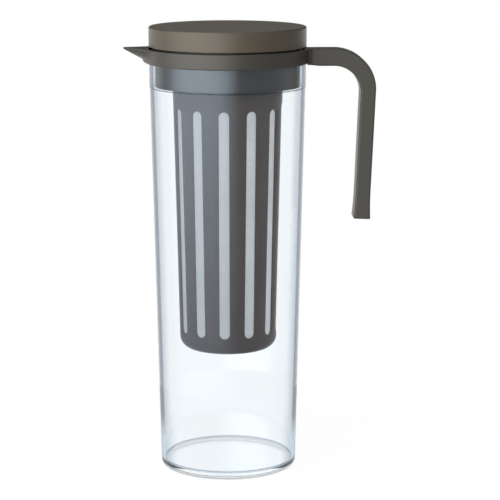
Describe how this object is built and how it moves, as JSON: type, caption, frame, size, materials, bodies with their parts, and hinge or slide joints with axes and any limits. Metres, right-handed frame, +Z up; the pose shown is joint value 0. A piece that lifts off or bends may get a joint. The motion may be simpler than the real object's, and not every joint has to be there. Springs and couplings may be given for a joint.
{
  "type": "iced coffee jug",
  "caption": "Tall clear tapered jug with a collar that carries a beak spout and a hook handle, a plug lid, and a slotted strainer with a mesh sleeve that hangs inside.",
  "frame": {"origin": "centre of the jug's flat foot, on the jug's axis", "axes": "+Z up along the jug's axis, +X towards the handle, -X towards the spout"},
  "size_m": [0.1514, 0.0966, 0.27],
  "materials": {
    "clear_plastic": "clear, polished",
    "taupe_plastic": "fine satin moulding",
    "silicone": "soft translucent matt",
    "mesh": "fine plain-woven screen"
  },
  "bodies": {
    "jug": {"jug_body": "clear_plastic", "rim_seal": "silicone", "collar": "taupe_plastic"},
    "strainer": {"strainer_frame": "taupe_plastic", "strainer_mesh": "mesh"},
    "lid": {"lid_cap": "taupe_plastic", "lid_plug": "taupe_plastic", "lid_gasket": "silicone"}
  },
  "joints": [
    {"name": "strainer_lift", "type": "slide", "parent": "jug", "child": "strainer", "axis": [0, 0, 1], "range_m": [0, 0.195]},
    {"name": "lid_lift", "type": "slide", "parent": "strainer", "child": "lid", "axis": [0, 0, 1], "range_m": [0, 0.04]}
  ]
}
